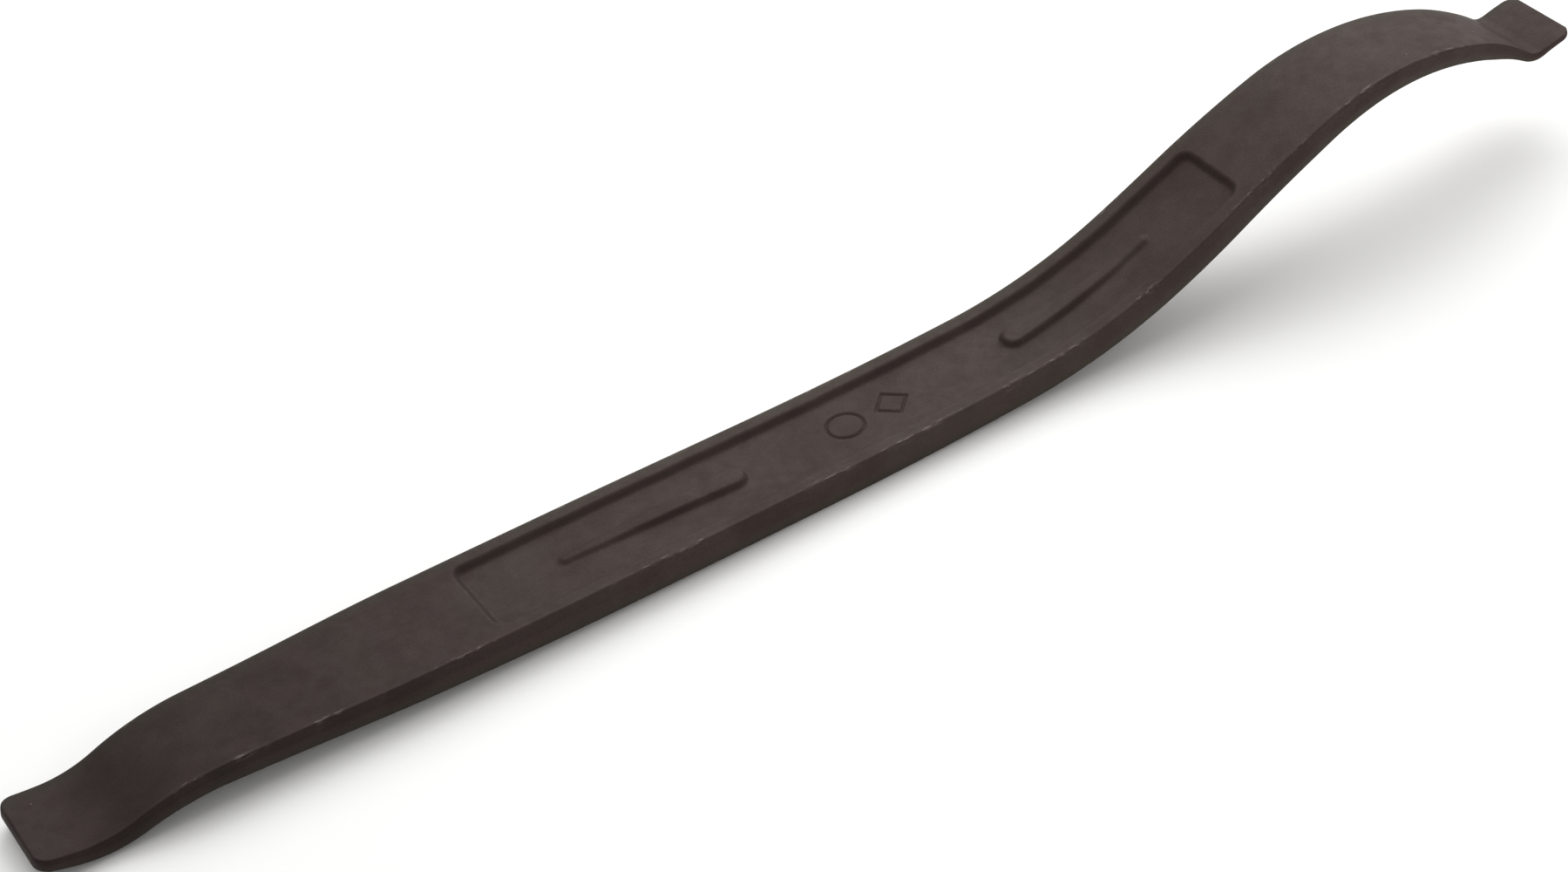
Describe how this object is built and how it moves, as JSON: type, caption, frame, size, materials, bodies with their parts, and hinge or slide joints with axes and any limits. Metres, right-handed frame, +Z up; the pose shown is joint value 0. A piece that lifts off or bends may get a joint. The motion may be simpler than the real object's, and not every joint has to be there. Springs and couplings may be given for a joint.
{
  "type": "tyre lever",
  "caption": "Curved forged steel tyre lever with a flat tip, a straight grip with a ribbed recessed panel, and an arched neck ending in a small spoon.",
  "frame": {"origin": "centre of the bounding box, on the plane that the lever lies on", "axes": "+X from the flat tip to the spoon, +Y across the bar, +Z up out of the panel side of the grip"},
  "size_m": [0.4098, 0.0322, 0.0406],
  "materials": {
    "phosphated_steel": "dark brown phosphate coating on forged steel, satin, with worn bright specks along the edges"
  },
  "bodies": {
    "root": {"forged_lever": "phosphated_steel"}
  },
  "joints": []
}
